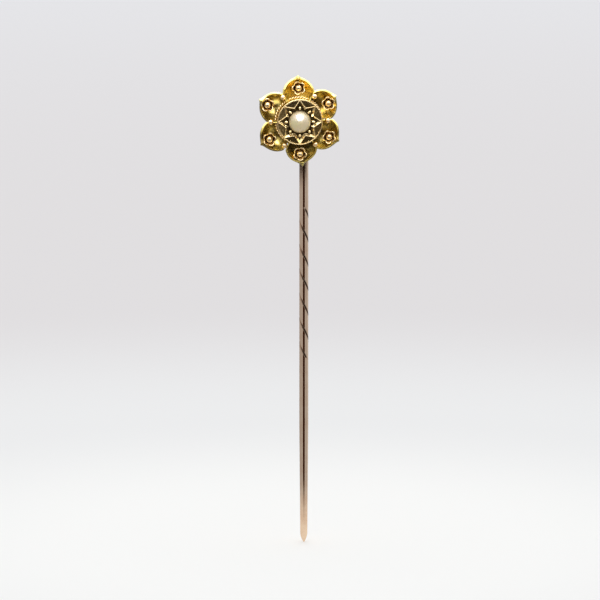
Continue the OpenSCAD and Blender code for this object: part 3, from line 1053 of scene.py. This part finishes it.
def make_world():
    """A white tent, brightest overhead, with a dark warm gap in front where the camera stands."""
    world = bpy.data.worlds.new("tent")
    world.use_nodes = True
    bpy.context.scene.world = world
    g = Graph(world.node_tree, "Generated")
    split = g.add("ShaderNodeSeparateXYZ")
    g.link(g.place, split.inputs["Vector"])
    height = split.outputs["Z"]

    def along(direction):
        node = g.add("ShaderNodeVectorMath", operation="DOT_PRODUCT")
        node.inputs[1].default_value = tuple(direction)
        g.link(g.place, node.inputs[0])
        return node.outputs["Value"]

    front = along(away(VIEW_AZIMUTH, 0))
    beside = along(away(VIEW_AZIMUTH + 90, 0))
    turn = g.math("ABSOLUTE", g.math("ARCTAN2", beside, front))
    gap_aside = g.ranged(turn, math.radians(GAP_ASIDE[1]), math.radians(GAP_ASIDE[0]), 0, 1)
    off_middle = g.math("ABSOLUTE", g.math("ADD", height, -GAP_MIDDLE))
    gap = g.math("MULTIPLY", gap_aside, g.ranged(off_middle, GAP_UP[1], GAP_UP[0], 0, 1))
    sides = g.ranged(turn, math.radians(30), math.radians(60), TENT_EDGE, TENT_SIDE)
    back = g.ranged(beside, -0.4, 0.2, TENT_BACK_LEFT, TENT_BACK_RIGHT)
    back = g.math("MULTIPLY", back, g.ranged(turn, math.radians(70), math.radians(150), 0, 1))
    sides = g.math("ADD", sides, back)
    upper = g.ranged(height, 0.08, 0.42, 0, TENT_UPPER)
    lower = g.ranged(height, -0.30, -0.65, 0, TENT_BELOW)
    walls = g.math("ADD", g.math("ADD", sides, upper), lower)
    shine = g.math("MULTIPLY", walls, g.math("SUBTRACT", 1.0, g.math("MULTIPLY", gap, GAP_DIMMING)))
    shine = g.math("ADD", shine, g.ranged(height, 0.50, 0.80, 0, TENT_TOP))
    fill = g.ranged(front, -0.8, 0.8, FILL_BEHIND, FILL_FRONT)
    fill = g.math("ADD", fill, g.ranged(height, 0.0, 0.9, 0, FILL_ABOVE))
    path = g.add("ShaderNodeLightPath")
    glossy = path.outputs["Is Glossy Ray"]
    seen = path.outputs["Is Camera Ray"]
    soft = g.math("SUBTRACT", 1.0, g.math("ADD", glossy, seen))
    strength = g.math("ADD", g.math("MULTIPLY", glossy, shine), g.math("MULTIPLY", soft, fill))
    strength = g.math("ADD", strength, g.math("MULTIPLY", seen, TENT_SEEN))
    background = g.tree.nodes["Background"]
    g.link(strength, background.inputs["Strength"])
    hue = g.mixed(g.math("MULTIPLY", gap, glossy), TENT_HUE, GAP_HUE)
    g.link(hue, background.inputs["Color"])


def make_glow_disc():
    """A glowing disc in place of bright paper at the pin's foot, which shows only in reflections."""
    count, reach = 64, 64.0  # corners and radius
    turn = np.linspace(0, 2 * math.pi, count, endpoint=False)
    ring = round_ring(reach, SHANK_LOW[2] + 0.02, turn)
    mesh = bpy.data.meshes.new("paper_glow")
    mesh.from_pydata((ring * MM).tolist(), [], [tuple(range(count))])
    g = MaterialGraph("paper_glow")
    far = g.add("ShaderNodeVectorMath", operation="LENGTH")
    g.link(g.place, far.inputs[0])
    glow = g.add("ShaderNodeEmission")
    glow.inputs["Color"].default_value = (1.0, 0.98, 0.93, 1)
    glow.inputs["Strength"].default_value = 0.9
    clear = g.add("ShaderNodeBsdfTransparent")
    share = g.add("ShaderNodeMixShader")
    g.link(g.ranged(far.outputs["Value"], 0.014, 0.044, 0, 1), share.inputs[0])
    g.link(glow.outputs[0], share.inputs[1])
    g.link(clear.outputs[0], share.inputs[2])
    g.link(share.outputs[0], g.tree.nodes["Material Output"].inputs["Surface"])
    mesh.materials.append(g.material)
    paper = bpy.data.objects.new("paper_glow", mesh)
    paper.visible_camera = False
    paper.visible_diffuse = False
    paper.visible_shadow = False
    bpy.context.scene.collection.objects.link(paper)


def make_camera():
    """A long lens, so that VIEW_WIDTH fills the picture at the pin's distance."""
    data = bpy.data.cameras.new("camera")
    data.sensor_width = SENSOR
    data.lens = SENSOR * VIEW_DISTANCE / VIEW_WIDTH
    data.clip_start = 0.01
    data.clip_end = 20
    camera = bpy.data.objects.new("camera", data)
    bpy.context.scene.collection.objects.link(camera)
    a = math.radians(VIEW_AZIMUTH)
    target = (np.array([math.cos(a), math.sin(a), 0]) * VIEW_ASIDE + [0, 0, VIEW_HEIGHT]) * MM
    aimed(camera, target + away(VIEW_AZIMUTH, VIEW_ELEVATION) * VIEW_DISTANCE * MM, target)
    bpy.context.scene.camera = camera


make_camera()
make_floor()
make_world()
make_glow_disc()
make_lamps()
make_petals()
make_florets()
make_cleft_grains()
make_boss()
make_rope()
make_star_plate()
make_pearl()
make_back()
make_shank()
make_collar()
bpy.context.scene.view_settings.view_transform = "Standard"
